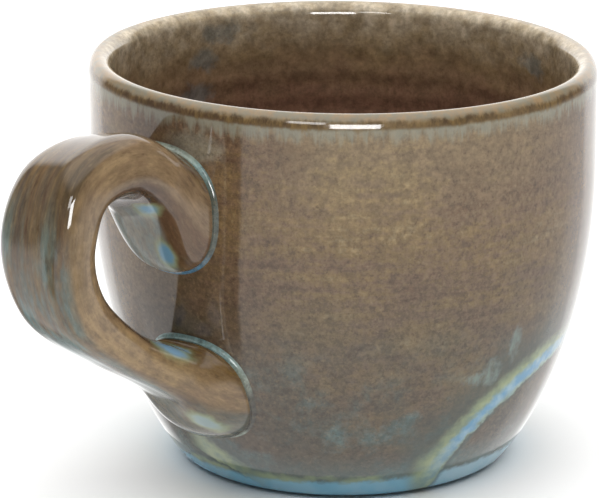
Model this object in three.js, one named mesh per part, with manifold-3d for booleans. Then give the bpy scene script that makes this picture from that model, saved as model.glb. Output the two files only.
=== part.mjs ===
// Glazed stoneware espresso cup with a luted strap handle. Millimetres, +Z up.
// The origin is the centre of the foot's standing face, and the handle points along +X.
import * as THREE from "three";
import { ParametricGeometry } from "three/addons/geometries/ParametricGeometry.js";
import { mergeVertices } from "three/addons/utils/BufferGeometryUtils.js";
import Module from "manifold-3d";

const wasm = await Module();
wasm.setup();

// Bowl, in bare clay. Below the upright wall the belly is an ellipse, which would close bellySink below
// the table. The wall thickens from the lip to the heel, where a fillet takes it into the floor.
const rimRadius = 32.35;
const baseRadius = 21.9;
const bowlHeight = 52.9;
const uprightWall = 13.2;
const bellySink = 8;
const lipThickness = 1.9;
const heelThickness = 3.4;
const floorThickness = 4.2;
const floorFillet = 11;
const baseCorner = 0.8;

// Foot: the turned disc of bare clay that the cup stands on, inside the glaze's lower edge.
const footClearance = 0.12;
const footMargin = 0.7;
const footChamfer = 0.25;

// Glaze coats, and how far inside the lip the outside coat meets the liner.
const glazeThickness = 0.35;
const glazeSeamDepth = 6;

// Handle pads, as they press on the wall. The upper one is placed from the rim, the lower from the table.
const upperPadDrop = 13.85;
const upperPadWidth = 16.4;
const upperPadTall = 15;
const lowerPadRise = 15.3;
const lowerPadWidth = 17.4;
const lowerPadTall = 13.6;
const padEdge = 0.8;

// Strap stations between the pads. Reach is out from the rim's wall. Rise is above the nearer pad's
// centre, and share is the part of the way from the lower pad's centre to the upper one's. Turn is where
// the strap's outer face looks, in degrees from +Z towards +X.
const upperNeck = { reach: 3.8, rise: 4.2, turn: -8, width: 13.8, thickness: 8.8 };
const crest = { reach: 9.4, rise: 6.5, turn: 4, width: 13.8, thickness: 6.4 };
const shoulder = { reach: 16.2, rise: 5.1, turn: 43, width: 13.2, thickness: 5.8 };
const bow = { reach: 19.4, share: 0.95, turn: 90, width: 12.8, thickness: 6.5 };
const elbow = { reach: 17.2, share: 0.63, turn: 124, width: 12.2, thickness: 6.6 };
const arm = { reach: 9.4, rise: 8.1, turn: 147, width: 11.6, thickness: 4.9 };
const lowerNeck = { reach: 1.6, rise: 3.2, turn: 163, width: 11.8, thickness: 6 };
const sectionSquareness = 2.4;

// Slip joints: the collar squeezed out round a pad's edge, and the gap at which luted faces seat.
const collarWidth = 0.6;
const collarHeight = 0.5;
const seatGap = 0.3;

// Facets
const turnSegments = 40;
const cornerSteps = 3;
const bellySteps = 9;
const lipSteps = 6;
const wallSteps = 8;
const filletSteps = 5;
const sectionSides = 20;
const strapRings = 31;
const padRings = 2;

const clay = new THREE.MeshStandardMaterial({ color: 0xb9a68c, roughness: 0.85, metalness: 0 });
const glaze = new THREE.MeshStandardMaterial({ color: 0x7a6752, roughness: 0.15, metalness: 0 });
const linerGlaze = new THREE.MeshStandardMaterial({ color: 0x5e4431, roughness: 0.15, metalness: 0 });
const pooledGlaze = new THREE.MeshStandardMaterial({ color: 0x5f7f8a, roughness: 0.12, metalness: 0 });

// Solids and meshes

function solidOf(geometry) {
  const bare = new THREE.BufferGeometry();
  bare.setAttribute("position", geometry.getAttribute("position"));
  bare.setIndex(geometry.index);
  const merged = mergeVertices(bare);
  const corners = [];
  for (let i = 0; i < merged.index.count; i += 3) {
    const [a, b, c] = merged.index.array.slice(i, i + 3);
    if (a !== b && b !== c && c !== a) corners.push(a, b, c);
  }
  return new wasm.Manifold(
    new wasm.Mesh({
      numProp: 3,
      vertProperties: merged.getAttribute("position").array,
      triVerts: new Uint32Array(corners),
    }),
  );
}

function meshOf(name, solid, material) {
  const { vertProperties, triVerts } = solid.getMesh();
  const geometry = new THREE.BufferGeometry();
  geometry.setAttribute("position", new THREE.BufferAttribute(vertProperties, 3));
  geometry.setIndex(new THREE.BufferAttribute(triVerts, 1));
  geometry.computeVertexNormals();
  const mesh = new THREE.Mesh(geometry, material);
  mesh.name = name;
  return mesh;
}

function turned(outline) {
  const geometry = new THREE.LatheGeometry(outline, turnSegments);
  geometry.rotateX(Math.PI / 2);
  return solidOf(geometry);
}

// Outlines in the half plane through the axis: radius across, height up

const { lerp, clamp, degToRad } = THREE.MathUtils;
const point = (radius, height) => new THREE.Vector2(radius, height);

const undersideHeight = footClearance + glazeThickness;
const cornerTop = undersideHeight + baseCorner;
const floorTop = undersideHeight + floorThickness;
const bellyHeight = bowlHeight - uprightWall;
const lipRadius = lipThickness / 2;
const lipCentre = bowlHeight - lipRadius;
const seamHeight = bowlHeight - glazeSeamDepth;

// The belly's ellipse passes through baseRadius at the top of the base corner.
const bellyDrop = bellyHeight + bellySink;
const baseShare = Math.sqrt(1 - ((bellyHeight - cornerTop) / bellyDrop) ** 2);
const bellyInset = (baseRadius - rimRadius * baseShare) / (1 - baseShare);
const bellyReach = rimRadius - bellyInset;

function bellyShare(height) {
  return Math.max(0, bellyHeight - height) / bellyDrop;
}

function wallRadius(height) {
  return bellyInset + bellyReach * Math.sqrt(1 - bellyShare(height) ** 2);
}

// How far the wall leans out, in radians from upright.
function wallLean(height) {
  const share = bellyShare(height);
  return Math.atan((bellyReach * share) / (bellyDrop * Math.sqrt(1 - share ** 2)));
}

function insideRadius(height) {
  const depth = clamp((bellyHeight - height) / (bellyHeight - floorTop), 0, 1);
  return wallRadius(height) - lerp(lipThickness, heelThickness, depth) / Math.cos(wallLean(height));
}

const cornerRadius = baseRadius - baseCorner * Math.tan(wallLean(cornerTop));
const glazeEdgeRadius = cornerRadius - baseCorner;
const footRadius = glazeEdgeRadius - footMargin;

function outsideOutline() {
  const corner = new THREE.QuadraticBezierCurve(
    point(glazeEdgeRadius, undersideHeight),
    point(cornerRadius, undersideHeight),
    point(baseRadius, cornerTop),
  );
  const start = -Math.asin(bellyShare(cornerTop));
  const belly = new THREE.EllipseCurve(bellyInset, bellyHeight, bellyReach, bellyDrop, start, 0);
  const lip = new THREE.EllipseCurve(rimRadius - lipRadius, lipCentre, lipRadius, lipRadius, 0, Math.PI);
  return [
    ...corner.getPoints(cornerSteps),
    ...belly.getPoints(bellySteps).slice(1),
    ...lip.getPoints(lipSteps),
    point(insideRadius(seamHeight), seamHeight),
  ];
}

function insideOutline() {
  const wall = [];
  for (let i = 0; i <= wallSteps; i++) {
    const height = lerp(seamHeight, floorTop + floorFillet, i / wallSteps);
    wall.push(point(insideRadius(height), height));
  }
  const [above, heel] = wall.slice(-2);
  const slope = (above.x - heel.x) / (above.y - heel.y);
  const floorCorner = point(heel.x - floorFillet * slope, floorTop);
  const floorEdge = point(floorCorner.x - floorFillet, floorTop);
  const fillet = new THREE.QuadraticBezierCurve(heel, floorCorner, floorEdge);
  return [...wall, ...fillet.getPoints(filletSteps).slice(1), point(0, floorTop)];
}

// The same outline moved off the clay by a distance, square to it. A point on the axis stays on it.
function movedOff(outline, distance) {
  return outline.map((here, i) => {
    const before = outline[Math.max(0, i - 1)];
    const after = outline[Math.min(outline.length - 1, i + 1)];
    const along = after.clone().sub(before).normalize();
    const radius = here.x === 0 ? 0 : here.x + along.y * distance;
    return point(radius, here.y - along.x * distance);
  });
}

const outside = outsideOutline();
const inside = insideOutline();

function bowlSolid() {
  return turned([point(0, undersideHeight), ...outside, ...inside.slice(1)]);
}

function footSolid() {
  return turned([
    point(0, 0),
    point(footRadius - footChamfer, 0),
    point(footRadius, footChamfer),
    point(footRadius, undersideHeight),
    point(0, undersideHeight),
  ]);
}

function coatSolid(clayOutline) {
  const skin = movedOff(clayOutline, glazeThickness);
  return turned([...skin, ...clayOutline.toReversed(), skin[0]]);
}

// The wall's outer form, filled solid up to the lip and grown by a distance, to cut what seats on it.
function wallForm(distance) {
  const wallPoints = cornerSteps + 1 + bellySteps + 1;
  const wall = movedOff(outside, distance).slice(0, wallPoints);
  return turned([point(0, wall[0].y), ...wall, point(0, wall.at(-1).y)]);
}

// Handle: sections swept from the upper pad to the lower one

const collarReach = seatGap + collarWidth;
const collarTop = seatGap + collarHeight;
const openingReach = collarReach + seatGap;

const upperPad = {
  centre: bowlHeight - upperPadDrop,
  halfWidth: upperPadWidth / 2,
  halfThickness: upperPadTall / 2,
  facing: 0,
};
const lowerPad = {
  centre: lowerPadRise,
  halfWidth: lowerPadWidth / 2,
  halfThickness: lowerPadTall / 2,
  facing: Math.PI,
};

// A pad's section, lifted off the wall and square to it.
function padSection({ centre, halfWidth, halfThickness, facing }, lift) {
  const lean = wallLean(centre);
  const out = wallRadius(centre) + lift * Math.cos(lean);
  const height = centre - lift * Math.sin(lean);
  return { out, height, turn: facing + lean, halfWidth, halfThickness };
}

// How deep a pad's flat end lies, to be inside the round wall all over.
function rootDepth({ centre, halfWidth }) {
  const radius = wallRadius(centre);
  return radius - Math.sqrt(radius ** 2 - (halfWidth + openingReach) ** 2) + seatGap;
}

function strapSection({ reach, turn, width, thickness }, height) {
  return {
    out: rimRadius + reach,
    height,
    turn: degToRad(turn),
    halfWidth: width / 2,
    halfThickness: thickness / 2,
  };
}

const betweenPads = (share) => lerp(lowerPad.centre, upperPad.centre, share);

const sections = [
  padSection(upperPad, -rootDepth(upperPad)),
  padSection(upperPad, padEdge),
  strapSection(upperNeck, upperPad.centre + upperNeck.rise),
  strapSection(crest, upperPad.centre + crest.rise),
  strapSection(shoulder, upperPad.centre + shoulder.rise),
  strapSection(bow, betweenPads(bow.share)),
  strapSection(elbow, betweenPads(elbow.share)),
  strapSection(arm, lowerPad.centre + arm.rise),
  strapSection(lowerNeck, lowerPad.centre + lowerNeck.rise),
  padSection(lowerPad, padEdge),
  padSection(lowerPad, -rootDepth(lowerPad)),
];

const smooth = (triples) => new THREE.CatmullRomCurve3(triples.map((triple) => new THREE.Vector3(...triple)));
const spine = smooth(sections.map(({ out, height, turn }) => [out, height, turn]));
const girth = smooth(sections.map(({ halfWidth, halfThickness }) => [halfWidth, halfThickness, 0]));

function strapAt(share) {
  const { x: out, y: height, z: turn } = spine.getPoint(share);
  const { x: halfWidth, y: halfThickness } = girth.getPoint(share);
  return { out, height, turn, halfWidth, halfThickness };
}

function squared(value) {
  return Math.sign(value) * Math.abs(value) ** (2 / sectionSquareness);
}

// A closed body through rings of sections, grown by a distance all round, with flat ends.
function swept(sectionAt, rings, distance) {
  const lastStep = rings + 1;
  const surface = (around, along, target) => {
    const step = Math.round(along * lastStep);
    const { out, height, turn, halfWidth, halfThickness } = sectionAt(clamp((step - 1) / (rings - 1), 0, 1));
    const isEndCentre = step === 0 || step === lastStep;
    const angle = 2 * Math.PI * around;
    const across = isEndCentre ? 0 : (halfWidth + distance) * squared(Math.cos(angle));
    const away = isEndCentre ? 0 : (halfThickness + distance) * squared(Math.sin(angle));
    target.set(out + away * Math.sin(turn), across, height + away * Math.cos(turn));
  };
  return solidOf(new ParametricGeometry(surface, sectionSides, lastStep));
}

const strap = (distance) => swept(strapAt, strapRings, distance);

// A pad's outline carried straight out of the wall, from upper to lower ring as the strap is.
function padPlug(pad, distance) {
  const inner = -rootDepth(pad);
  const outer = collarTop + rootDepth(pad);
  const [first, last] = pad === upperPad ? [inner, outer] : [outer, inner];
  return swept((share) => padSection(pad, lerp(first, last, share)), padRings, distance);
}

function handleSolid() {
  return strap(0).subtract(wallForm(seatGap));
}

function handleCoatSolid() {
  return strap(glazeThickness).subtract(strap(0)).subtract(wallForm(collarTop + seatGap));
}

function collarSolid(pad) {
  return padPlug(pad, collarReach)
    .intersect(wallForm(collarTop))
    .subtract(wallForm(seatGap))
    .subtract(padPlug(pad, seatGap))
    .subtract(strap(seatGap));
}

// The strap's roots pass through the thin wall, so the openings stop halfway through it.
function outsideCoatSolid() {
  const openings = padPlug(upperPad, openingReach).add(padPlug(lowerPad, openingReach));
  return coatSolid(outside).subtract(openings.subtract(wallForm(-lipRadius)));
}

const cup = new THREE.Group();
cup.name = "espresso_cup";
cup.add(
  meshOf("bowl", bowlSolid(), clay),
  meshOf("foot", footSolid(), clay),
  meshOf("outside_glaze", outsideCoatSolid(), glaze),
  meshOf("liner_glaze", coatSolid(inside), linerGlaze),
  meshOf("handle", handleSolid(), clay),
  meshOf("handle_glaze", handleCoatSolid(), glaze),
  meshOf("upper_slip_joint", collarSolid(upperPad), pooledGlaze),
  meshOf("lower_slip_joint", collarSolid(lowerPad), pooledGlaze),
);

export default cup;
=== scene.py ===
import math

import bpy
from mathutils import Matrix, Vector


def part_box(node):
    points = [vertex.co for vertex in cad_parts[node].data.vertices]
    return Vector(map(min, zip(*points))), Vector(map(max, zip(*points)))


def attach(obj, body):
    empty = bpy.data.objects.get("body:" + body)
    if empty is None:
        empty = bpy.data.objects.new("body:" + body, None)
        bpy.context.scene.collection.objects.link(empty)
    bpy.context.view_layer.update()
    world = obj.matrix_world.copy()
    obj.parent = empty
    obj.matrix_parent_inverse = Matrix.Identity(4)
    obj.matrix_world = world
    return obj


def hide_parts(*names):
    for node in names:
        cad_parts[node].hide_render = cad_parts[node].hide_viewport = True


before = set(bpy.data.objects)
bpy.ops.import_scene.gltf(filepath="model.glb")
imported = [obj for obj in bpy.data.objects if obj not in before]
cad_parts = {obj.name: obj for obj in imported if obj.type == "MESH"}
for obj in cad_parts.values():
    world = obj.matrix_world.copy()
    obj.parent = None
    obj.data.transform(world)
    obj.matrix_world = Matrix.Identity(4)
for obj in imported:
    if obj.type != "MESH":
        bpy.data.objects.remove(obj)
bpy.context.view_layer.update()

# Outlines and handle sections are worked out in millimetres, and meshes are made in metres.
MM = 0.001


def frame_box(node):
    """A CAD node's lowest and highest corners, in millimetres."""
    low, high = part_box(node)
    return low / MM, high / MM


# Cup, over its glaze. The mouth's high side stands at the frame's height.
coat_low, coat_high = frame_box("outside_glaze")
RIM_RADIUS = coat_high.y
CUP_HEIGHT = coat_high.z
BASE_RADIUS = 22.25
CORNER_TOP = 1.3
UNDERSIDE = coat_low.z
UPRIGHT_WALL = 13.55
BELLY_SINK = 8
LIP_THICKNESS = 2.9
LIP_CREST_INSET = 1.15
LIP_OUTER_RISE = 2.0
LIP_INNER_RISE = 1.6
HEEL_THICKNESS = 4.1
FLOOR_TOP = 5.02
FLOOR_FILLET = 11
FLOOR_DISH = 0.45
FLOOR_RINGS = 4
FLOOR_RING_DEPTH = 0.05
GLAZE = 0.35
GLAZE_EDGE_INSET = 1.6
SEAM_DEPTH = 6

# Hand-made unevenness: the mouth slopes down from its high side, and the wall is not quite round.
MOUTH_SLOPE = 0.38
SLOPE_START = 0.4
HIGH_SIDE = math.radians(-46.5)
WALL_WOBBLE = 0.08
WOBBLE_SIZE = 26
WOBBLE_DETAIL = 1.0
WOBBLE_ROUGHNESS = 0.4
UNEVEN_SEED = 4.0
THROWING_RING_DEPTH = 0.09
THROWING_RING_PITCH = 3.4
RING_WANDER = 6.0
RING_WANDER_SCALE = 40.0
RING_FADE = 0.9
POLE_MERGE = 0.002

# Foot
foot_high = frame_box("foot")[1]
FOOT_RADIUS = foot_high.y
FOOT_HEIGHT = foot_high.z
FOOT_CHAMFER = 0.25
TURNING_GROOVE_DEPTH = 0.05
TURNING_GROOVE_PITCH = 1.5
TURNING_GROOVE_STEPS = 6

# Handle pads, over their glaze. Aside is how far a pad sits off the handle's middle plane.
UPPER_PAD_DROP = 14.2
UPPER_PAD = dict(half_width=8.0, half_tall=7.85, aside=0.5, faces_down=False)
LOWER_PAD_RISE = 15.3
LOWER_PAD = dict(half_width=7.55, half_tall=7.1, aside=2.55, faces_down=True)
PAD_EDGE = 0.9
PAD_ROOT = 0.6
PAD_SQUARENESS = 2.4
PAD_FIT_ROUNDS = 6

# Strap stations: reach out from the rim's wall, rise above the nearer pad's centre, the outer face's turn
# in degrees from +Z towards +X, the strap's width and thickness over its glaze, how square its section is,
# and how far it is rolled about its length and shifted aside.
UPPER_NECK = dict(reach=3.8, rise=4.2, turn=-8, width=13.8, thickness=9.5, square=3.0, roll=7)
CREST = dict(reach=9.4, rise=7.0, turn=4, width=13.2, thickness=8.0, square=3.9, roll=12)
SHOULDER = dict(reach=16.05, rise=5.5, turn=43, width=12.8, thickness=7.4, square=4.0, roll=9)
BOW = dict(reach=18.95, rise=-1.2, turn=90, width=12.5, thickness=7.2, square=3.2, roll=-3)
ELBOW = dict(reach=16.95, rise=-8.8, turn=124, width=12.0, thickness=7.3, square=3.2)
ARM = dict(reach=9.4, rise=8.0, turn=147, width=11.5, thickness=5.7, square=3.2)
LOWER_NECK = dict(reach=1.6, rise=3.2, turn=163, width=11.2, thickness=6.7, square=3.0, aside=1.75)
PULL_GROOVE_DEPTH = 0.08
PULL_GROOVE_PITCH = 3.6
LEAST_GAP = 1e-3

# Beads of glaze pooled in the groove round a pad
BEAD_WIDTH = 0.5
BEAD_HEIGHT = 0.45
BEAD_SUNK = 0.3
BEAD_UNDER_PAD = 0.02
BEAD_HOLLOW = 0.06
BEAD_FEATHER = 0.03

# Fineness of the meshes
TURN_SEGMENTS = 192
CORNER_STEPS = 8
WALL_STEPS = 64
LIP_STEPS = 18
SEAM_STEPS = 6
LINER_STEPS = 48
FILLET_STEPS = 20
FLOOR_STEPS = 40
STRAP_RINGS = 150
STRAP_SIDES = 64
BEAD_PATH_STEPS = 160
BEAD_CURVE_STEPS = 8
SHARP_ANGLE = math.radians(40)

# Camera, fitted to the outlines of the cup
IMAGE_WIDTH = 600
IMAGE_HEIGHT = 498
SENSOR_WIDTH = 36
CAMERA_AZIMUTH = math.radians(133.5)
CAMERA_ELEVATION = math.radians(16.39)
CAMERA_DISTANCE = 467.9
CAMERA_ROLL = math.radians(0.05)
NEAREST_SEEN = 0.01
AIM_HEIGHT = 26.44
AIM_PIXEL = (343.0, 251.3)
FOCAL_PIXELS = 3590


# Outlines of the turned pieces, as (radius, height) points


def lerp(first, second, share):
    return first + (second - first) * share


def eased(share):
    share = min(1.0, max(0.0, share))
    return share * share * (3 - 2 * share)


belly_height = CUP_HEIGHT - UPRIGHT_WALL
belly_drop = belly_height + BELLY_SINK
base_share = math.sqrt(1 - ((belly_height - CORNER_TOP) / belly_drop) ** 2)
belly_inset = (BASE_RADIUS - RIM_RADIUS * base_share) / (1 - base_share)
belly_reach = RIM_RADIUS - belly_inset
seam_height = CUP_HEIGHT - SEAM_DEPTH


def belly_share(height):
    return max(0.0, belly_height - height) / belly_drop


def wall_radius(height):
    return belly_inset + belly_reach * math.sqrt(1 - belly_share(height) ** 2)


def wall_lean(height):
    """How far the wall leans out, in radians from upright."""
    share = belly_share(height)
    return math.atan(belly_reach * share / (belly_drop * math.sqrt(1 - share**2)))


def inside_radius(height):
    depth = min(1.0, max(0.0, (belly_height - height) / (belly_height - FLOOR_TOP)))
    thickness = lerp(LIP_THICKNESS, HEEL_THICKNESS, depth)
    return wall_radius(height) - thickness / math.cos(wall_lean(height))


def bend(start, corner, end, steps):
    """Points of a quadratic curve from start to end that heads for a corner."""
    points = []
    for step in range(steps + 1):
        share = step / steps
        first = [lerp(a, b, share) for a, b in zip(start, corner)]
        second = [lerp(a, b, share) for a, b in zip(corner, end)]
        points.append(tuple(lerp(a, b, share) for a, b in zip(first, second)))
    return points


def rippled(turns):
    """0 at whole turns and 1 half-way between them."""
    return 0.5 - 0.5 * math.cos(math.tau * turns)


def outside_outline():
    """From the glaze's edge under the base, up the wall and over the lip, to the seam inside."""
    corner_radius = BASE_RADIUS - CORNER_TOP * math.tan(wall_lean(CORNER_TOP))
    edge = (corner_radius - GLAZE_EDGE_INSET, UNDERSIDE)
    points = bend(edge, (corner_radius, UNDERSIDE), (BASE_RADIUS, CORNER_TOP), CORNER_STEPS)
    for step in range(1, WALL_STEPS + 1):
        height = lerp(CORNER_TOP, CUP_HEIGHT - LIP_OUTER_RISE, step / WALL_STEPS)
        points.append((wall_radius(height), height))
    for step in range(1, LIP_STEPS + 1):
        turn = math.pi * step / LIP_STEPS
        outer = turn < math.pi / 2
        rise = LIP_OUTER_RISE if outer else LIP_INNER_RISE
        reach = LIP_CREST_INSET if outer else LIP_THICKNESS - LIP_CREST_INSET
        across = RIM_RADIUS - LIP_CREST_INSET + reach * math.cos(turn)
        points.append((across, CUP_HEIGHT - rise + rise * math.sin(turn)))
    for step in range(1, SEAM_STEPS + 1):
        height = lerp(CUP_HEIGHT - LIP_INNER_RISE, seam_height, step / SEAM_STEPS)
        points.append((inside_radius(height), height))
    return points


def inside_outline():
    """From the seam down the inside wall and across the floor to the axis."""
    points = []
    heel_height = FLOOR_TOP + FLOOR_FILLET
    for step in range(LINER_STEPS + 1):
        height = lerp(seam_height, heel_height, step / LINER_STEPS)
        points.append((inside_radius(height), height))
    above, heel = points[-2:]
    slope = (above[0] - heel[0]) / (above[1] - heel[1])
    floor_corner = (heel[0] - FLOOR_FILLET * slope, FLOOR_TOP)
    floor_edge = (floor_corner[0] - FLOOR_FILLET, FLOOR_TOP)
    points += bend(heel, floor_corner, floor_edge, FILLET_STEPS)[1:]
    for step in range(1, FLOOR_STEPS + 1):
        share = step / FLOOR_STEPS
        ring = FLOOR_RING_DEPTH * rippled(share * FLOOR_RINGS) * (1 - share)
        height = FLOOR_TOP - FLOOR_DISH * eased(share) - ring
        points.append((lerp(floor_edge[0], 0, share), height))
    return points


def moved_in(outline, distance):
    """An outline moved into the clay, square to itself. A point on the axis stays on it."""
    moved = []
    for i, (radius, height) in enumerate(outline):
        before = outline[max(0, i - 1)]
        after = outline[min(len(outline) - 1, i + 1)]
        along = Vector((after[0] - before[0], after[1] - before[1])).normalized()
        new_radius = 0.0 if radius == 0 else radius - along.y * distance
        moved.append((new_radius, height + along.x * distance))
    return moved


def foot_outline():
    """From the axis on the standing face to the axis on top, with grooves left by the turning tool."""
    points = []
    flat_radius = FOOT_RADIUS - FOOT_CHAMFER
    steps = int(flat_radius / TURNING_GROOVE_PITCH) * TURNING_GROOVE_STEPS
    for step in range(steps):
        groove = TURNING_GROOVE_DEPTH * rippled(step / TURNING_GROOVE_STEPS)
        points.append((flat_radius * step / steps, groove))
    points += bend((flat_radius, 0), (FOOT_RADIUS, 0), (FOOT_RADIUS, FOOT_CHAMFER), CORNER_STEPS)
    return points + [(FOOT_RADIUS, FOOT_HEIGHT), (0, FOOT_HEIGHT)]


# Node trees


class Wiring:
    """Adds linked nodes to one tree."""

    def __init__(self, tree):
        self.tree = tree

    def node(self, kind, inputs=(), **settings):
        made = self.tree.nodes.new(kind)
        for name, value in settings.items():
            setattr(made, name, value)
        for key, value in dict(inputs).items():
            if isinstance(value, bpy.types.NodeSocket):
                self.tree.links.new(value, made.inputs[key])
            else:
                made.inputs[key].default_value = value
        return made

    def math(self, operation, *values):
        return self.node("ShaderNodeMath", enumerate(values), operation=operation).outputs[0]

    def times(self, value, *factors):
        for factor in factors:
            value = self.math("MULTIPLY", value, factor)
        return value

    def plus(self, first, second):
        return self.math("ADD", first, second)

    def minus(self, first, second):
        return self.math("SUBTRACT", first, second)

    def weighed(self, values, weights):
        """The sum of values, each times its weight."""
        total = 0.0
        for value, weight in zip(values, weights):
            total = self.math("MULTIPLY_ADD", value, weight, total)
        return total

    def vector(self, operation, *values):
        made = self.node("ShaderNodeVectorMath", enumerate(values), operation=operation)
        return made.outputs["Value" if operation in ("DOT_PRODUCT", "LENGTH") else "Vector"]

    def stretched(self, place, stretch):
        return self.vector("MULTIPLY", place, stretch)

    def scaled(self, vector, scale):
        return self.node("ShaderNodeVectorMath", {0: vector, "Scale": scale}, operation="SCALE").outputs[0]

    def axes(self, vector):
        return self.node("ShaderNodeSeparateXYZ", {0: vector}).outputs

    def joined(self, x, y, z):
        return self.node("ShaderNodeCombineXYZ", {0: x, 1: y, 2: z}).outputs[0]

    def noise(self, place, scale, detail=2.0, roughness=0.5, seed=0.0):
        inputs = {"Vector": place, "W": seed, "Scale": scale, "Detail": detail, "Roughness": roughness}
        return self.node("ShaderNodeTexNoise", inputs, noise_dimensions="4D").outputs[0]

    def between(self, value, low, high, first=0.0, last=1.0):
        """Eases from first to last as the value goes from low to high."""
        inputs = {"Value": value, 1: low, 2: high, 3: first, 4: last}
        return self.node("ShaderNodeMapRange", inputs, interpolation_type="SMOOTHSTEP").outputs[0]

    def fading(self, value, low, high, first=1.0):
        return self.between(value, low, high, first, 0.0)

    def within(self, values, bounds):
        """The product of named values, each eased between its bounds."""
        return self.times(*[self.between(values[name], *ease) for name, *ease in bounds])

    def patches(self, place, pattern, *shares):
        """Noise, eased between the bounds that follow its seed."""
        return self.between(self.noise(place, *pattern[:4]), *pattern[4:], *shares)

    def swing(self, noise, width):
        """Noise as a swing to both sides of 0."""
        return self.math("MULTIPLY_ADD", noise, width, -width / 2)

    def blend(self, share, first, second):
        first, second = [(*tone, 1) if isinstance(tone, tuple) else tone for tone in (first, second)]
        return self.node("ShaderNodeMix", {0: share, 6: first, 7: second}, data_type="RGBA").outputs[2]

    def tones(self, value, stops):
        made = self.node("ShaderNodeValToRGB", {0: value})
        ramp = made.color_ramp.elements
        while len(ramp) < len(stops):
            ramp.new(1.0)
        for element, (position, colour) in zip(ramp, stops):
            element.position = position
            element.color = (*colour, 1)
        return made.outputs[0]


def new_tree(name, sockets):
    """A geometry tree with named inputs and one output, its wiring and its inputs."""
    tree = bpy.data.node_groups.new(name, "GeometryNodeTree")
    for socket, kind in sockets.items():
        tree.interface.new_socket(socket, in_out="INPUT", socket_type="NodeSocket" + kind)
    tree.interface.new_socket("Piece", in_out="OUTPUT", socket_type="NodeSocketGeometry")
    w = Wiring(tree)
    return tree, w, w.node("NodeGroupInput").outputs


def dress(w, geometry, finish):
    """Ends a geometry tree with a real mesh in its finish."""
    real = w.node("GeometryNodeRealizeInstances", {0: geometry}).outputs[0]
    dressed = w.node("GeometryNodeSetMaterial", {"Geometry": real, "Material": finish}).outputs[0]
    w.node("NodeGroupOutput", {0: dressed})


# Turned pieces: an outline swept round the axis by a node tree, then left a little uneven

THROWN_FORM_INPUTS = {
    "Outline": "Geometry",
    "Segments": "Int",
    "Path Radius": "Float",
    "Wobble": "Float",
    "Wobble Size": "Float",
    "Seed": "Float",
    "Ring Depth": "Float",
    "Ring Pitch": "Float",
    "Ring Top": "Float",
    "Mouth Slope": "Float",
    "Mouth Height": "Float",
    "Uphill": "Vector",
    "Finish": "Material",
}


def swept_outline(w, size):
    outline = w.node("GeometryNodeMeshToCurve", {0: size["Outline"]}).outputs[0]
    circle_sizes = {"Resolution": size["Segments"], "Radius": size["Path Radius"]}
    circle = w.node("GeometryNodeCurvePrimitiveCircle", circle_sizes).outputs[0]
    return w.node("GeometryNodeCurveToMesh", {"Curve": circle, "Profile Curve": outline}).outputs[0]


def left_uneven(w, form, place, height, size):
    """Moves a turned form in by the wobble of its wall and the rings left by the thrower's fingers."""
    wobble_scale = w.math("DIVIDE", 1.0, size["Wobble Size"])
    wobble = w.noise(place, wobble_scale, WOBBLE_DETAIL, WOBBLE_ROUGHNESS, size["Seed"])
    turns = w.math("DIVIDE", height, size["Ring Pitch"])
    wander = w.times(w.noise(place, RING_WANDER_SCALE), RING_WANDER)
    ring = w.plus(w.math("SINE", w.plus(w.times(turns, math.tau), wander)), 1.0)
    below_top = w.fading(height, w.times(size["Ring Top"], RING_FADE), size["Ring Top"])
    ring = w.times(ring, w.times(size["Ring Depth"], below_top))
    inset = w.times(w.plus(w.times(wobble, size["Wobble"]), ring), -1.0)
    outward = w.scaled(w.stretched(place, (1, 1, 0)), w.math("DIVIDE", 1.0, size["Path Radius"]))
    offset = w.scaled(outward, inset)
    return w.node("GeometryNodeSetPosition", {"Geometry": form, "Offset": offset}).outputs[0]


def sloped_at_mouth(w, form, place, height, size):
    slope_start = w.times(size["Mouth Height"], SLOPE_START)
    share = w.between(height, slope_start, size["Mouth Height"])
    drop = w.minus(w.vector("DOT_PRODUCT", place, size["Uphill"]), 1.0)
    lift = w.joined(0.0, 0.0, w.times(drop, share, size["Mouth Slope"]))
    return w.node("GeometryNodeSetPosition", {"Geometry": form, "Offset": lift}).outputs[0]


def thrown_form_tree():
    tree, w, size = new_tree("thrown_form", THROWN_FORM_INPUTS)
    place = w.node("GeometryNodeInputPosition").outputs[0]
    height = w.axes(place)[2]
    uneven = left_uneven(w, swept_outline(w, size), place, height, size)
    sloped = sloped_at_mouth(w, uneven, place, height, size)
    merged = {"Geometry": sloped, "Distance": POLE_MERGE * MM}
    dress(w, w.node("GeometryNodeMergeByDistance", merged).outputs[0], size["Finish"])
    return tree


def set_inputs(modifier, values):
    """Sets a node modifier's named inputs by their identifiers."""
    for item in modifier.node_group.interface.items_tree:
        if item.item_type == "SOCKET" and item.in_out == "INPUT" and item.name in values:
            modifier[item.identifier] = values[item.name]


def link_object(name, data):
    made = bpy.data.objects.new(name, data)
    bpy.context.scene.collection.objects.link(made)
    return made


def line_object(name, points, closed):
    """An object of edges through points in metres."""
    mesh = bpy.data.meshes.new(name)
    edges = [(i, i + 1) for i in range(len(points) - 1)]
    if closed:
        edges.append((len(points) - 1, 0))
    mesh.from_pydata(points, edges, [])
    return link_object(name, mesh)


def finish_mesh(piece, mesh):
    """Gives a piece its final mesh, smooth but for its real edges."""
    piece.modifiers.clear()
    piece.data = mesh
    mesh.name = piece.name
    mesh.shade_smooth()
    mesh.set_sharp_from_angle(angle=SHARP_ANGLE)


def settle(piece):
    """Turns an object's evaluated node tree into its plain mesh."""
    bpy.context.view_layer.update()
    depsgraph = bpy.context.evaluated_depsgraph_get()
    finish_mesh(piece, bpy.data.meshes.new_from_object(piece.evaluated_get(depsgraph)))


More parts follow.
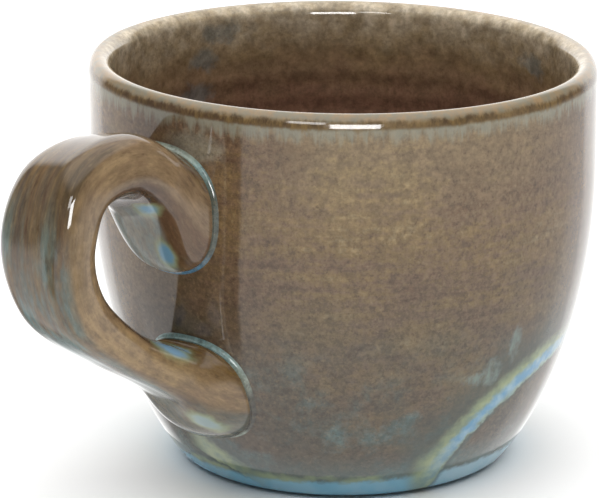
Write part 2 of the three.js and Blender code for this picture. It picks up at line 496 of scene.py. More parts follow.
def thrown(name, outline, closed, finish, ring_depth=0.0, wobble=WALL_WOBBLE):
    """A turned piece. Its outline runs counterclockwise, and the sweep takes it reversed and upside down."""
    points = [((radius - RIM_RADIUS) * MM, -height * MM, 0) for radius, height in reversed(outline)]
    piece = line_object(name, points, closed)
    modifier = piece.modifiers.new("thrown_form", "NODES")
    modifier.node_group = bpy.data.node_groups.get("thrown_form") or thrown_form_tree()
    uphill = Vector((math.cos(HIGH_SIDE), math.sin(HIGH_SIDE), 0)) / (RIM_RADIUS * MM)
    values = {
        "Segments": TURN_SEGMENTS,
        "Path Radius": RIM_RADIUS * MM,
        "Wobble": wobble * MM,
        "Wobble Size": WOBBLE_SIZE * MM,
        "Seed": UNEVEN_SEED,
        "Ring Depth": ring_depth * MM,
        "Ring Pitch": THROWING_RING_PITCH * MM,
        "Ring Top": seam_height * MM,
        "Mouth Slope": MOUTH_SLOPE * MM,
        "Mouth Height": CUP_HEIGHT * MM,
        "Uphill": uphill,
        "Finish": finish,
    }
    set_inputs(modifier, values)
    settle(piece)
    return piece


# Handle: sections swept from the upper pad to the lower one


class Pad:
    """Where an end of the handle is pressed on the wall."""

    def __init__(self, centre, half_width, half_tall, aside, faces_down):
        self.centre = centre
        self.half_width = half_width
        self.half_tall = half_tall
        self.aside = aside
        lean = wall_lean(centre)
        self.turn = lean + (math.pi if faces_down else 0)
        self.middle = Vector((wall_radius(centre), 0, centre))
        self.normal = Vector((math.cos(lean), 0, -math.sin(lean)))
        self.up = Vector((math.sin(lean), 0, math.cos(lean)))

    def section(self, lift):
        """The strap's section on this pad, lifted off the wall."""
        place = self.middle + self.normal * lift
        girth = (self.half_width, self.half_tall, self.aside)
        roll = 0.0
        return (place.x, place.z, self.turn, *girth, roll, PAD_SQUARENESS)

    def fall(self, across, up):
        """How far the wall falls away from the pad's middle plane at a place on it."""
        fall = 0.0
        for _ in range(PAD_FIT_ROUNDS):
            spot = self.middle + self.up * up - self.normal * fall
            fall += math.hypot(spot.x, across) - wall_radius(spot.z)
        return fall

    def spot(self, across, up):
        """The wall's surface under a place on the pad, and the way the wall faces there."""
        flat = self.middle + self.up * up - self.normal * self.fall(across, up)
        spot = Vector((flat.x, across, flat.z))
        lean = wall_lean(spot.z)
        outward = Vector((spot.x, spot.y, 0)).normalized()
        return spot, outward * math.cos(lean) - Vector((0, 0, math.sin(lean)))


upper_pad = Pad(CUP_HEIGHT - UPPER_PAD_DROP, **UPPER_PAD)
lower_pad = Pad(LOWER_PAD_RISE, **LOWER_PAD)


def strap_section(station, pad):
    return (
        RIM_RADIUS - GLAZE + station["reach"],
        pad.centre + station["rise"],
        math.radians(station["turn"]),
        station["width"] / 2,
        station["thickness"] / 2,
        station.get("aside", 0.0),
        math.radians(station.get("roll", 0.0)),
        station["square"],
    )


strap_sections = [
    upper_pad.section(-PAD_ROOT),
    upper_pad.section(PAD_EDGE),
    *[strap_section(station, upper_pad) for station in (UPPER_NECK, CREST, SHOULDER, BOW, ELBOW)],
    *[strap_section(station, lower_pad) for station in (ARM, LOWER_NECK)],
    lower_pad.section(PAD_EDGE),
    lower_pad.section(-PAD_ROOT),
]


def smooth_through(rows, share):
    """A centripetal Catmull-Rom curve through rows of numbers."""
    place = share * (len(rows) - 1)
    index = min(int(place), len(rows) - 2)
    weight = place - index
    here, after = Vector(rows[index]), Vector(rows[index + 1])
    before = Vector(rows[index - 1]) if index > 0 else here * 2 - after
    beyond = Vector(rows[index + 2]) if index + 2 < len(rows) else after * 2 - here
    steps = (here - before, after - here, beyond - after)
    gap_in, gap, gap_out = [max(step.length**0.5, LEAST_GAP) for step in steps]
    leave = ((here - before) / gap_in - (after - before) / (gap_in + gap) + (after - here) / gap) * gap
    arrive = ((after - here) / gap - (beyond - here) / (gap + gap_out) + (beyond - after) / gap_out) * gap
    square, cube = weight**2, weight**3
    return (
        here * (2 * cube - 3 * square + 1)
        + after * (3 * square - 2 * cube)
        + leave * (cube - 2 * square + weight)
        + arrive * (cube - square)
    )


def strap_at(share):
    spine = smooth_through([section[:3] for section in strap_sections], share)
    girth = smooth_through([section[3:] for section in strap_sections], share)
    return (*spine, *girth)


def squared(value, squareness):
    return math.copysign(abs(value) ** (2 / squareness), value)


def hugging(share):
    """The nearer pad, and how far a section follows the round of the wall that this pad is pressed on."""
    station = 1 / (len(strap_sections) - 1)
    if share < 0.5:
        return upper_pad, 1 - eased((share - station) / station)
    return lower_pad, 1 - eased((1 - share - station) / station)


def strap_ring(share, shrink):
    """Points round the strap, in millimetres, each with its place across and out of the strap."""
    out, height, turn, half_width, half_thickness, aside, roll, squareness = strap_at(share)
    pad, hug = hugging(share)
    points = []
    for side in range(STRAP_SIDES):
        angle = math.tau * side / STRAP_SIDES
        across = (half_width - shrink) * squared(math.cos(angle), squareness)
        away = (half_thickness - shrink) * squared(math.sin(angle), squareness)
        groove = PULL_GROOVE_DEPTH * rippled(across / PULL_GROOVE_PITCH)
        away -= groove * (1 - hug) * math.sin(angle)
        sideways = across * math.cos(roll) - away * math.sin(roll)
        outward = away * math.cos(roll) + across * math.sin(roll)
        spot = Vector((out + outward * math.sin(turn), aside + sideways, height + outward * math.cos(turn)))
        if hug > 0:
            fall = pad.fall(spot.y, (spot - pad.middle).dot(pad.up))
            spot -= pad.normal * fall * hug
        points.append((spot, (across, away)))
    return points


def strap_faces():
    """Quads round the strap, and a cap at each end."""
    faces = []
    for ring in range(STRAP_RINGS - 1):
        near, far = ring * STRAP_SIDES, (ring + 1) * STRAP_SIDES
        for side in range(STRAP_SIDES):
            following = (side + 1) % STRAP_SIDES
            faces.append((near + side, near + following, far + following, far + side))
    faces.append(tuple(reversed(range(STRAP_SIDES))))
    faces.append(tuple(range((STRAP_RINGS - 1) * STRAP_SIDES, STRAP_RINGS * STRAP_SIDES)))
    return faces


def set_vectors(mesh, name, numbers):
    """Gives each point of a mesh a vector, under a name that node trees read."""
    attribute = mesh.attributes.new(name, "FLOAT_VECTOR", "POINT")
    attribute.data.foreach_set("vector", numbers)


def strap_piece(name, shrink, finish):
    """The strap as a closed mesh, which knows each point's place along it for patterns that follow it."""
    spots, places = [], []
    along = 0.0
    last = None
    for ring in range(STRAP_RINGS):
        points = strap_ring(ring / (STRAP_RINGS - 1), shrink)
        middle = sum((spot for spot, _ in points), Vector()) / STRAP_SIDES
        along += (middle - last).length if last else 0.0
        last = middle
        spots += [spot * MM for spot, _ in points]
        for _, place in points:
            places += (*place, along)
    mesh = bpy.data.meshes.new(name)
    mesh.from_pydata(spots, [], strap_faces())
    set_vectors(mesh, "strap_place", places)
    mesh.materials.append(finish)
    piece = link_object(name, mesh)
    finish_mesh(piece, mesh)
    return piece


# Beads of glaze pooled round the pads: a hollow fillet swept along each pad's edge by a node tree


def pooled_bead_tree():
    tree, w, given = new_tree("pooled_bead", {"Path": "Geometry", "Section": "Object", "Finish": "Material"})
    path = w.node("GeometryNodeMeshToCurve", {0: given["Path"]}).outputs[0]
    facing = w.node("GeometryNodeInputNamedAttribute", {"Name": "wall_facing"}, data_type="FLOAT_VECTOR")
    normals = {"Curve": path, "Normal": facing.outputs[0]}
    upright = w.node("GeometryNodeSetCurveNormal", normals, mode="FREE").outputs[0]
    section = w.node("GeometryNodeObjectInfo", {"Object": given["Section"]}).outputs["Geometry"]
    profile = w.node("GeometryNodeMeshToCurve", {0: section}).outputs[0]
    swept = w.node("GeometryNodeCurveToMesh", {"Curve": upright, "Profile Curve": profile}).outputs[0]
    dress(w, swept, given["Finish"])
    return tree


def bead_section():
    """The fillet's outline: height off the wall, then distance out from the pad's edge."""
    points = [(-BEAD_SUNK, -BEAD_SUNK), (BEAD_HEIGHT, -BEAD_SUNK)]
    top = (BEAD_HEIGHT, -BEAD_UNDER_PAD)
    points += bend(top, (BEAD_HOLLOW, BEAD_HOLLOW), (-BEAD_FEATHER, BEAD_WIDTH), BEAD_CURVE_STEPS)
    points.append((-BEAD_SUNK, BEAD_WIDTH - BEAD_SUNK))
    return [(height * MM, out * MM, 0) for height, out in points]


def pooled_bead(name, pad, finish):
    path, facings = [], []
    for step in range(BEAD_PATH_STEPS):
        angle = math.tau * step / BEAD_PATH_STEPS
        across = pad.aside + pad.half_width * squared(math.cos(angle), PAD_SQUARENESS)
        up = pad.half_tall * squared(math.sin(angle), PAD_SQUARENESS)
        spot, facing = pad.spot(across, up)
        path.append(spot * MM)
        facings.extend(facing)
    piece = line_object(name, path, closed=True)
    set_vectors(piece.data, "wall_facing", facings)
    section = line_object("bead_section", bead_section(), closed=True)
    modifier = piece.modifiers.new("pooled_bead", "NODES")
    modifier.node_group = bpy.data.node_groups.get("pooled_bead") or pooled_bead_tree()
    set_inputs(modifier, {"Section": section, "Finish": finish})
    settle(piece)
    bpy.data.objects.remove(section)
    return piece


# Finishes. Colours are the glaze's own, before the studio's reflections, except where painted shade or
# painted reflection is laid in, as said at each.

DARK_BROWN = (0.040, 0.019, 0.012)
ARCH_PAINTED_SHADE = (0.060, 0.032, 0.020)
RIDGE_BROWN_AND_SHADE = (0.070, 0.046, 0.022)
SLATE_BROWN = (0.085, 0.066, 0.050)
RED_BROWN = (0.098, 0.050, 0.026)
WARM_BROWN = (0.130, 0.075, 0.044)
DEEP_RED_BROWN = (0.140, 0.070, 0.047)
LILAC_BROWN = (0.152, 0.096, 0.056)
GOLD_BROWN = (0.165, 0.098, 0.028)
OLIVE_BROWN = (0.195, 0.127, 0.052)
PALE_TAN = (0.270, 0.200, 0.105)
TAN_BROWN = (0.320, 0.220, 0.120)
ORANGE_BROWN = (0.450, 0.305, 0.140)
LIP_BROWN = (0.075, 0.048, 0.026)
LIP_CREST_AND_SHEEN = (0.225, 0.208, 0.155)
LIP_PALE = (0.330, 0.260, 0.165)
LIP_TAN_AND_SHEEN = (0.560, 0.480, 0.360)
GREEN_GREY = (0.076, 0.068, 0.051)
# Pale grey of the glaze's drips, also laid on the handle as painted sheen
DRIP_AND_SHEEN_GREY = (0.265, 0.265, 0.205)
YELLOW_GREEN = (0.315, 0.380, 0.205)
DARK_TEAL = (0.045, 0.068, 0.062)
TEAL = (0.090, 0.165, 0.165)
PALE_TEAL = (0.210, 0.290, 0.270)
CLOUD_BLUE = (0.130, 0.165, 0.170)
RUN_BLUE = (0.125, 0.300, 0.470)
MILK_BLUE = (0.280, 0.430, 0.530)
BASE_BLUE = (0.160, 0.390, 0.530)
POOL_MILK_AND_SHEEN = (0.340, 0.500, 0.580)
SPOT_BLUE = (0.235, 0.430, 0.640)
SPOT_GREY = (0.250, 0.335, 0.360)
BEAD_GREY = (0.078, 0.090, 0.072)
BEAD_BROWN = (0.085, 0.080, 0.066)
BEAD_BLUE = (0.090, 0.200, 0.300)
BEAD_TEAL = (0.190, 0.290, 0.280)
BEAD_PALE_AND_SHEEN = (0.260, 0.300, 0.250)
CLAY_BROWN = (0.42, 0.32, 0.21)
CLAY_PALE = (0.55, 0.44, 0.31)
CLAY_SPECK = (0.12, 0.075, 0.045)

# Colours in order, each at a share of the way: over the brown ground, and up the beads, where the pale tones
# toward the top are partly painted highlight
GROUND_BROWNS = [(0.0, RED_BROWN), (0.38, LILAC_BROWN), (0.75, OLIVE_BROWN), (1.0, PALE_TAN)]
UPPER_BEAD_POOLS = [
    (0.02, BEAD_BLUE), (0.22, BEAD_GREY), (0.7, BEAD_GREY), (0.85, BEAD_TEAL), (1.0, BEAD_PALE_AND_SHEEN)
]
LOWER_BEAD_POOLS = [
    (0.1, BEAD_PALE_AND_SHEEN), (0.2, BEAD_BROWN), (0.5, BEAD_BROWN), (0.68, BEAD_PALE_AND_SHEEN), (0.85, BEAD_TEAL)
]

# Noise in the finishes: scale per millimetre, detail, roughness and seed
CLOUD = (0.07, 3.0, 0.55, 1.0)
MOTTLE = (1.3, 4.0, 0.65, 2.0)
THROWN_STREAK = (0.8, 4.0, 0.65, 3.0)
BEAD_WANDER = (0.28, 3.0, 0.6, 6.0)
WAVINESS = (0.5, 2.0, 0.5, 8.0)
PORES = (3.0, 1.0, 0.5, 9.0)
WALL_EDGES = (0.9, 3.0, 0.6, 11.0)
POOL_PATCHES = (0.22, 2.0, 0.5, 12.0)
LIP_STROKES = (0.9, 3.0, 0.65, 13.0)
HAZE = (0.12, 3.0, 0.6, 14.0)
BLOTCHES = (0.16, 5.0, 0.65, 15.0)
INSIDE_LEVELS = (0.3, 3.0, 0.6, 16.0)
CLOUD_EDGES = (0.45, 4.0, 0.65, 17.0)
CURDLING = (0.6, 3.0, 0.55, 18.0)
BROKEN_LIP = (0.7, 4.0, 0.7, 20.0)
STRAP_STREAK = (0.8, 3.0, 0.6, 21.0)
WASH_THICKNESS = (0.4, 4.0, 0.6, 22.0)
SPOT_EDGES = (0.6, 2.0, 0.5, 23.0)
STRAP_MOTTLE = (0.4, 4.0, 0.65, 24.0)
FINE_STREAK = (1.6, 3.0, 0.6, 28.0)
CLAY_CLOUD = (0.4, 4.0, 0.6)
CLAY_SAND = (3.0, 3.0, 0.6)

# Noise that is eased: after its seed come two bounds, and the shares at them where they aren't 0 and 1
PALE_GRAINS = (2.2, 3.0, 0.65, 4.0, 0.5, 0.75)
DARK_GRAINS = (1.7, 3.0, 0.7, 5.0, 0.5, 0.72)
COARSE_GRAIN = (1.3, 4.0, 0.7, 25.0, 0.3, 0.7)
GLAZE_ROUGHNESS = (0.8, 3.0, 0.6, 10.0, 0.3, 0.7, 0.04, 0.1)
LIP_MOTTLE = (0.4, 4.0, 0.6, 19.0, 0.34, 0.7)
INSIDE_TONES = (0.5, 4.0, 0.7, 26.0, 0.3, 0.7, 0.82, 1.42)
FEATHERING = (0.9, 4.0, 0.7, 27.0, 0.35, 0.65, 0.1, 0.6)
LIP_STRETCHES = (0.07, 3.0, 0.6, 29.0, 0.4, 0.6, 0.35, 0.95)
CREST_TONES = (0.5, 4.0, 0.65, 30.0, 0.35, 0.65)
CLAY_SPECKS = (2.6, 2.0, 0.6, 3.0, 0.62, 0.7)
CLAY_ROUGHNESS = (1.0, 2.0, 0.5, 2.0, 0.3, 0.7, 0.78, 0.92)

# How far a pattern is drawn out along an axis: below 1 is longer
DRAWN_ROUND_WALL = (0.1, 0.1, 1.0)
DRAWN_ROUND_INSIDE = (0.12, 0.12, 1.0)
DRAWN_DOWN_LIP = (1.0, 1.0, 0.4)
DRAWN_DOWN_STROKES = (1.2, 1.2, 0.22)
DRAWN_DOWN_WISPS = (1.0, 1.0, 0.5)
DRAWN_ALONG_STRAP = (1.0, 1.0, 0.12)
DRAWN_FINE = (1.0, 1.0, 0.06)
DRAWN_LOOSE = (1.0, 1.0, 0.3)
DRAWN_GRAIN = (1.0, 1.0, 0.4)

# Gloss, grain and relief
GLAZE_IOR = 1.6
GLAZE_RELIEF = 0.1
PORE_RELIEF = 0.15
RELIEF_DEPTH = 0.1 * MM
WORN_WELL_TOP = 34
WORN_WELL_ROUGHNESS = 0.3
PALE_GRAIN_SHARE = 0.35
DARK_GRAIN_SHARE = 0.45
COARSE_SWING = 0.3
INSIDE_GRAIN = 0.55
HANDLE_GRAIN = 0.7
CLAY_RELIEF = 0.5
GROUND_SPREAD = (0.34, 0.66)
GROUND_WEIGHTS = (0.44, 0.24, 0.32)
STRAP_MOTTLE_WEIGHTS = (0.45, 0.25, 0.3)
PATCH_EDGE = (0.5, 1.2)

# Layers of a glaze, in the order they are laid: a tone, and the bounds it lies within. A bound names a value,
# its low and high ends, and the shares of the tone at them where they aren't 0 and 1. Turns are in radians
# from the handle, and lengths in millimetres.
WALL_LAYERS = [
    (WARM_BROWN, [("turn", 0.15, 0.8, 0.8, 0.0), ("height", 20.0, 34.0, 1.0, 0.55)]),
    (PALE_TAN, [("turn", 0.35, 0.7), ("turn", 1.6, 2.2, 1.0, 0.0), ("height", 34.0, 50.0, 0.0, 0.5)]),
    (RED_BROWN, [("turn", 1.3, 1.9, 0.0, 0.5)]),
]
LOW_WALL_LAYERS = [
    (GREEN_GREY, [("height", 10.0, 42.0, 0.9, 0.0), ("haze", 0.35, 0.65, 0.5, 1.0)]),
    (TEAL, [("blotches", 0.46, 0.68), ("height", 12.0, 26.0, 0.7, 0.0)]),
]
WALL_RAGGEDNESS = 1.8
OVER_PAD_PATCH = (32.0, 5.5, 47.6)
OVER_PAD_PATCH_SIZE = (6.0, 4.5, 2.2)
OVER_PAD_RAGGEDNESS = 0.4
OVER_PAD_SHARE = 0.45

# Lip: levels from the mouth's edge, and where its crest turns inside
DRIP_REACH = -6.0
DRIP_START = -0.9
DRIP_FADE = 2.2
DRIP_TOP = (-1.9, -1.5, 0.7, 0.0)
LIP_RAGGEDNESS = 2.4
LIP_LINE = (-2.1, -1.4)
LIP_BREAKS = (0.4, 0.65)
CREST_RAGGEDNESS = 1.5
CREST_LEVEL = (-1.1, -0.5, 0.0, 0.9)
LIP_TURNS_IN = (RIM_RADIUS - 2.0, RIM_RADIUS - 1.2)
INSIDE_LIP_HEIGHT = (42.0, 45.0)

# Pool round the base: its edge is higher away from the handle, and above is counted from that edge.
POOL_TURN = (0.0, 1.7)
POOL_TOP = (2.7, 3.5)
POOL_RAGGEDNESS = 0.7
# The pool turns milky further round from the handle: painted reflection
POOL_SHEEN_TURN = (0.95, 1.5, 0.0, 0.6)
POOL_PATCH_EDGE = (0.4, 0.6)
POOL_PATCH_MILK = 0.3
POOL_LAYERS = [
    (TEAL, [("above", 0.2, 5.0, 0.5, 0.0)]),
    ("pool", [("above", -0.5, 0.4, 1.0, 0.0)]),
    (YELLOW_GREEN, [("above", -0.5, 0.3), ("above", 0.4, 1.2, 1.0, 0.0), ("patches", *POOL_PATCH_EDGE),
                    ("turn", 0.95, 1.15, 0.85, 0.0)]),
    # Painted shade along the lowest edge of the glaze, by the floor
    (DARK_TEAL, [("height", 0.0, 0.2, 0.8, 0.0)]),
]

# Runs of blue glaze down the wall: where the middle lies, the slope and bow of its line, how long and how
# wide it is, and how much of it is blue rather than green.
RUNS = [
    dict(angle=88, height=14.0, slope=34.5, bow=0.024, length=34, width=1.0, blue=1.0),
    dict(angle=7.0, height=4.4, slope=-24, bow=0.0, length=15, width=0.55, blue=0.0),
    dict(angle=-62, height=11.5, slope=-40, bow=0.018, length=28, width=1.0, blue=1.0),
    dict(angle=168, height=9.0, slope=52, bow=0.03, length=24, width=0.8, blue=0.8),
    dict(angle=222, height=14.5, slope=-48, bow=0.02, length=34, width=0.9, blue=1.0),
]
RUN_RADIUS = 27
RUN_START = 4
RUN_END = 9
RUN_FOOT = (1.5, 11)
RUN_FOOT_SPREAD = -0.45
RUN_FOOT_GREEN = -0.85
RUN_SHADE = [("edge", -2.8, -1.8), ("edge", 2.0, 9.0, 0.7, 0.0)]
RUN_FRINGE = [("edge", -2.0, -1.4), ("edge", 0.6, 2.9, 0.9, 0.0)]
RUN_CORE = [("edge", -2.0, -0.8), ("edge", -0.2, 1.0, 1.0, 0.0)]
CURDLED_GREEN = (0.3, 0.6, 0.45, 1.0)
CURDLED_MILK = (0.4, 0.7)

# Pale wisps in the wall's glaze above the run, and blue clouds inside: centre and size
WISPS = [
    ((4.1, 29.4, 17.6), (1.6, 3.0, 2.0)),
    ((1.0, 30.5, 20.9), (1.0, 3.0, 2.8)),
    ((6.7, 29.7, 17.0), (1.8, 3.0, 1.1)),
]
WISP_RAGGEDNESS = 0.7
INSIDE_CLOUDS = [
    ((-6.3, -29.1, 50.0), (3.4, 3.4, 1.5)),
    ((-3.8, -29.5, 46.6), (2.4, 2.4, 1.8)),
    ((-2.2, -29.6, 41.8), (3.0, 3.0, 1.8)),
    ((-28.5, 7.0, 47.5), (3.0, 3.0, 1.6)),
]

# Inside: heights between which the colour darkens down in the cup, partly as painted shade, and turns a tan
# near the lip that is partly painted reflection, and how uneven they are
INSIDE_UNEVENNESS = 6.0
INSIDE_PAINTED_SHADE = (41.0, 53.0, 0.9, 0.0)
INSIDE_TAN_AND_SHEEN = (48.5, 55.5, 0.0, 0.9)
CLOUD_RAGGEDNESS = 2.2
CLOUD_SHARE = 0.5
INSIDE_PALENESS = 0.6

# Spots of blue glaze caught on the handle: place across, out of and along the strap, size, and colour
HANDLE_SPOTS = [
    ((4.1, -2.8, 51.4), (1.4, 1.6, 3.0), SPOT_BLUE),
    ((2.6, -3.8, 8.6), (1.8, 1.5, 1.3), RUN_BLUE),
    ((2.6, -6.6, 3.6), (1.2, 1.3, 1.3), RUN_BLUE),
    ((4.4, 4.4, 58.0), (1.5, 0.8, 2.3), SPOT_GREY),
    ((1.8, -3.5, 54.6), (2.4, 1.4, 1.8), SPOT_BLUE),
    ((-1.6, -3.6, 54.0), (2.2, 1.4, 2.0), PALE_TEAL),
    ((-3.0, -3.4, 53.0), (1.6, 2.0, 2.4), RUN_BLUE),
]
SPOT_RIM = 1.4
SPOT_GREEN = 0.75
SPOT_CORE = 0.85
SPOT_RAGGEDNESS = 0.8
BEAD_RAGGEDNESS = 5.0


def new_finish(name):
    material = bpy.data.materials.new(name)
    material.use_nodes = True
    material.node_tree.nodes.clear()
    return material, Wiring(material.node_tree)


def shaded_by(w, material, kind, inputs):
    """Ends a finish with its shader."""
    shader = w.node(kind, inputs)
    w.node("ShaderNodeOutputMaterial", {"Surface": shader.outputs[0]})
    return material


def place_in_mm(w):
    return w.scaled(w.node("ShaderNodeTexCoord").outputs["Object"], 1 / MM)


def turn_from_handle(w, x, y):
    return w.math("ABSOLUTE", w.math("ARCTAN2", y, x))


def layered(w, colour, values, layers):
    """Lays tones over a colour, each within its bounds. A tone is a colour or names a value."""
    for tone, bounds in layers:
        tone = values[tone] if isinstance(tone, str) else tone
        colour = w.blend(w.within(values, bounds), colour, tone)
    return colour


def patch(w, place, ragged, centre, size, strength=1.0):
    """A ragged spot round a centre, that fades to 0 outside it."""
    offset = w.vector("DIVIDE", w.vector("SUBTRACT", place, centre), size)
    return w.fading(w.plus(w.vector("LENGTH", offset), ragged), *PATCH_EDGE, strength)


def speckled(w, place, colour, strength=1.0):
    """Fine pale and dark grains all through a glaze."""
    pale = w.patches(place, PALE_GRAINS, 0.0, PALE_GRAIN_SHARE * strength)
    dark = w.patches(place, DARK_GRAINS, 0.0, DARK_GRAIN_SHARE * strength)
    colour = w.blend(dark, w.blend(pale, colour, PALE_TAN), DARK_BROWN)
    swing = COARSE_SWING * strength
    return w.scaled(colour, w.patches(place, COARSE_GRAIN, 1 - swing, 1 + swing))


def brown_ground(w, place, drawn):
    """Cloudy brown glaze. Its streaks are drawn out along the places given second."""
    cloud = w.noise(place, *CLOUD)
    mottle = w.noise(place, *MOTTLE)
    streak = w.noise(drawn, *THROWN_STREAK)
    tone = w.weighed((cloud, mottle, streak), GROUND_WEIGHTS)
    return w.tones(w.between(tone, *GROUND_SPREAD), GROUND_BROWNS)


def glossy(w, material, colour, place, dulled=0.0):
    """Ends a glaze finish with its gloss, made rougher where it is dulled, and its faint unevenness."""
    relief = w.math("MULTIPLY_ADD", w.noise(place, *PORES), PORE_RELIEF, w.noise(place, *WAVINESS))
    bump = w.node("ShaderNodeBump", {"Strength": GLAZE_RELIEF, "Distance": RELIEF_DEPTH, "Height": relief})
    roughness = w.plus(w.patches(place, GLAZE_ROUGHNESS), dulled)
    inputs = {"Base Color": colour, "Roughness": roughness, "IOR": GLAZE_IOR, "Normal": bump.outputs[0]}
    return shaded_by(w, material, "ShaderNodeBsdfPrincipled", inputs)


def run_places(w, place, run):
    """How far a place lies along a run's line, and how far above it."""
    slope = math.radians(run["slope"])
    turned_back = {"Vector": place, "Angle": -math.radians(run["angle"])}
    turned = w.node("ShaderNodeVectorRotate", turned_back, rotation_type="Z_AXIS").outputs[0]
    x, y, z = w.axes(turned)
    around = w.times(w.math("ARCTAN2", y, x), RUN_RADIUS)
    offset = w.joined(around, w.minus(z, run["height"]), 0.0)
    along = w.vector("DOT_PRODUCT", offset, (math.cos(slope), math.sin(slope), 0))
    across = w.vector("DOT_PRODUCT", offset, (-math.sin(slope), math.cos(slope), 0))
    return along, w.math("MULTIPLY_ADD", w.math("POWER", along, 2.0), run["bow"], across)


def glaze_run(w, colour, place, ragged, run):
    """Lays one run over a colour: a blue core with a green fringe above it and a milky edge below."""
    along, above = run_places(w, place, run)
    half = run["length"] / 2
    whole = w.times(w.between(along, -half, RUN_START - half), w.fading(along, half - RUN_END, half))
    foot = w.fading(along, RUN_FOOT[0] - half, RUN_FOOT[1] - half)
    spread = w.math("MULTIPLY_ADD", foot, RUN_FOOT_SPREAD, 1.0)
    values = {"edge": w.times(w.plus(above, ragged), w.math("DIVIDE", spread, run["width"]))}
    curdle = w.noise(place, *CURDLING)
    colour = w.blend(w.times(w.within(values, RUN_SHADE), whole), colour, DARK_TEAL)
    green = w.blend(w.between(curdle, *CURDLED_GREEN), TEAL, YELLOW_GREEN)
    colour = w.blend(w.times(w.within(values, RUN_FRINGE), whole), colour, green)
    blue = w.math("MULTIPLY_ADD", foot, RUN_FOOT_GREEN * run["blue"], run["blue"])
    core = w.times(w.within(values, RUN_CORE), whole, blue)
    return w.blend(core, colour, w.blend(w.between(curdle, *CURDLED_MILK), RUN_BLUE, MILK_BLUE))


def base_pool(w, colour, place, ragged):
    """Blue glaze pooled round the base under a green edge and a dark mist, milky in patches and milkier
    further round from the handle as painted reflection, with painted shade along its lowest edge.
    """
    x, y, z = w.axes(place)
    turn = turn_from_handle(w, x, y)
    top = w.math("MULTIPLY_ADD", ragged, POOL_RAGGEDNESS, w.between(turn, *POOL_TURN, *POOL_TOP))
    patches = w.noise(place, *POOL_PATCHES)
    patchy = w.between(w.between(patches, *POOL_PATCH_EDGE), 0.0, 1.0, 0.0, POOL_PATCH_MILK)
    milk_and_sheen = w.plus(w.between(turn, *POOL_SHEEN_TURN), patchy)
    values = dict(turn=turn, height=z, above=w.minus(z, top), patches=patches)
    values["pool"] = w.blend(milk_and_sheen, BASE_BLUE, POOL_MILK_AND_SHEEN)
    return layered(w, colour, values, POOL_LAYERS)


def lip_drips(w, colour, place, level):
    """Pale ragged strokes that hang below the lip."""
    strokes = w.noise(w.stretched(place, DRAWN_DOWN_STROKES), *LIP_STROKES)
    start = w.math("MULTIPLY_ADD", strokes, DRIP_REACH, DRIP_START)
    pale = w.between(level, start, w.plus(start, DRIP_FADE))
    return w.blend(w.times(pale, w.between(level, *DRIP_TOP)), colour, DRIP_AND_SHEEN_GREY)


def lip_edge(w, colour, place, level):
    """A dark broken line under the lip, and a pale crest on it that is partly painted reflection."""
    broken = w.noise(w.stretched(place, DRAWN_DOWN_LIP), *BROKEN_LIP)
    line = w.between(w.plus(level, w.swing(broken, LIP_RAGGEDNESS)), *LIP_LINE)
    line = w.times(line, w.patches(place, LIP_STRETCHES))
    colour = w.blend(line, colour, w.blend(w.between(broken, *LIP_BREAKS), LIP_BROWN, OLIVE_BROWN))
    # Pale crest, partly painted reflection
    crest = w.between(w.plus(level, w.swing(broken, CREST_RAGGEDNESS)), *CREST_LEVEL)
    return w.blend(crest, colour, w.blend(w.patches(place, CREST_TONES), LIP_CREST_AND_SHEEN, TAN_BROWN))


def wall_ground(w, place, ragged):
    """Warm brown by the handle, pale in front, red-brown on the far side and grey-green low down."""
    x, y, z = w.axes(place)
    values = dict(turn=turn_from_handle(w, x, y), height=z)
    values.update(haze=w.noise(place, *HAZE), blotches=w.noise(place, *BLOTCHES))
    colour = brown_ground(w, place, w.stretched(place, DRAWN_ROUND_WALL))
    colour = layered(w, colour, values, WALL_LAYERS)
    softened = w.times(ragged, OVER_PAD_RAGGEDNESS)
    over_pad = patch(w, place, softened, OVER_PAD_PATCH, OVER_PAD_PATCH_SIZE, OVER_PAD_SHARE)
    colour = w.blend(over_pad, colour, DRIP_AND_SHEEN_GREY)
    return speckled(w, place, layered(w, colour, values, LOW_WALL_LAYERS))


def outside_colour(w, place, level):
    """The wall's glaze with its lip, base pool, runs and wisps."""
    ragged = w.swing(w.noise(place, *WALL_EDGES), WALL_RAGGEDNESS)
    colour = wall_ground(w, place, ragged)
    colour = lip_drips(w, colour, place, level)
    colour = lip_edge(w, colour, place, level)
    colour = base_pool(w, colour, place, ragged)
    for run in RUNS:
        colour = glaze_run(w, colour, place, ragged, run)
    feathered = w.patches(w.stretched(place, DRAWN_DOWN_WISPS), FEATHERING)
    for centre, size in WISPS:
        wisp = patch(w, place, w.times(ragged, WISP_RAGGEDNESS), centre, size)
        colour = w.blend(w.times(wisp, feathered), colour, PALE_TEAL)
    return colour


